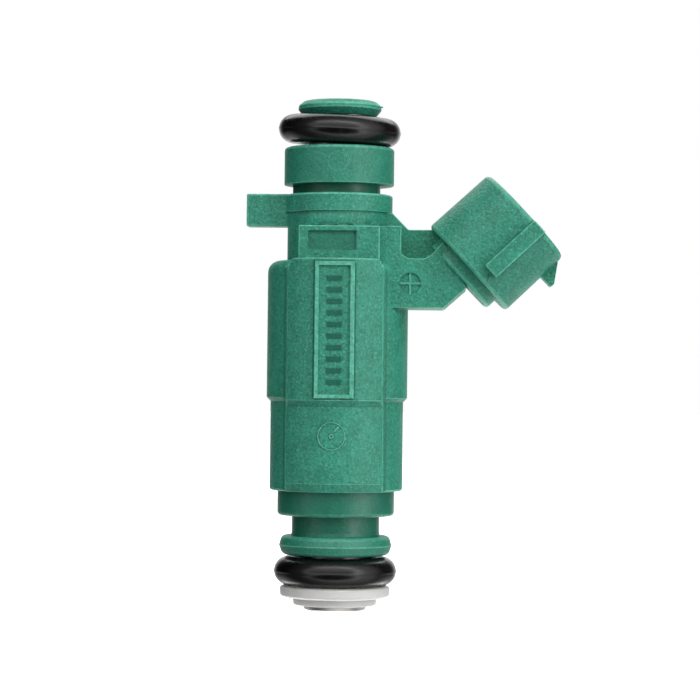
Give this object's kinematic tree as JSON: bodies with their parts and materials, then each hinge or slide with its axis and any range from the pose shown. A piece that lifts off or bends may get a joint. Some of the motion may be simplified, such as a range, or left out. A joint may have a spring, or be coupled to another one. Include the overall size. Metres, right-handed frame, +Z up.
{
  "type": "fuel injector",
  "caption": "Solenoid port fuel injector with a moulded housing, angled side connector, O-rings at both ends and a sprung valve inside.",
  "frame": {"origin": "centre of the spray tip's lower face", "axes": "+Z up the injector's axis from the spray tip to the fuel inlet, +X towards the electrical connector, +Y away from the side with the framed plate"},
  "size_m": [0.0379, 0.0177, 0.061],
  "materials": {
    "green_nylon": "fine spark-eroded mould texture, glass-filled nylon",
    "white_nylon": "translucent, satin",
    "natural_nylon": "translucent, satin",
    "bobbin_plastic": "satin",
    "black_rubber": "smooth, slightly oiled",
    "stainless_steel": "turned and deep drawn",
    "magnet_steel": "turned, dull plated",
    "spring_steel": "drawn wire",
    "polished_steel": "lapped",
    "steel_mesh": "woven",
    "enamelled_copper": "enamelled winding wire",
    "terminal_brass": "tin plated, stamped"
  },
  "bodies": {
    "injector": {"overmould": "green_nylon", "inlet_retainer": "green_nylon", "inlet_tube": "stainless_steel", "filter_basket": "natural_nylon", "filter_mesh": "steel_mesh", "upper_o_ring": "black_rubber", "lower_o_ring": "black_rubber", "lower_spacer": "green_nylon", "tip_retaining_ring": "white_nylon", "valve_body": "stainless_steel", "nonmagnetic_sleeve": "stainless_steel", "coil_housing": "magnet_steel", "flux_washer": "magnet_steel", "coil_bobbin": "bobbin_plastic", "coil_winding": "enamelled_copper", "terminal_left": "terminal_brass", "terminal_right": "terminal_brass", "adjusting_sleeve": "stainless_steel", "closing_spring": "spring_steel", "upper_guide_ring": "stainless_steel", "lower_guide_disc": "stainless_steel", "lift_ring": "stainless_steel", "valve_seat": "stainless_steel", "orifice_plate": "stainless_steel"},
    "valve": {"armature": "magnet_steel", "needle_tube": "stainless_steel", "valve_ball": "polished_steel"}
  },
  "joints": [
    {"name": "valve_lift", "type": "slide", "parent": "injector", "child": "valve", "axis": [0, 0, 1], "range_m": [0, 0.00008], "stiffness_N_per_m": 6000, "springref_m": -0.0004, "deforming": ["closing_spring"]}
  ]
}
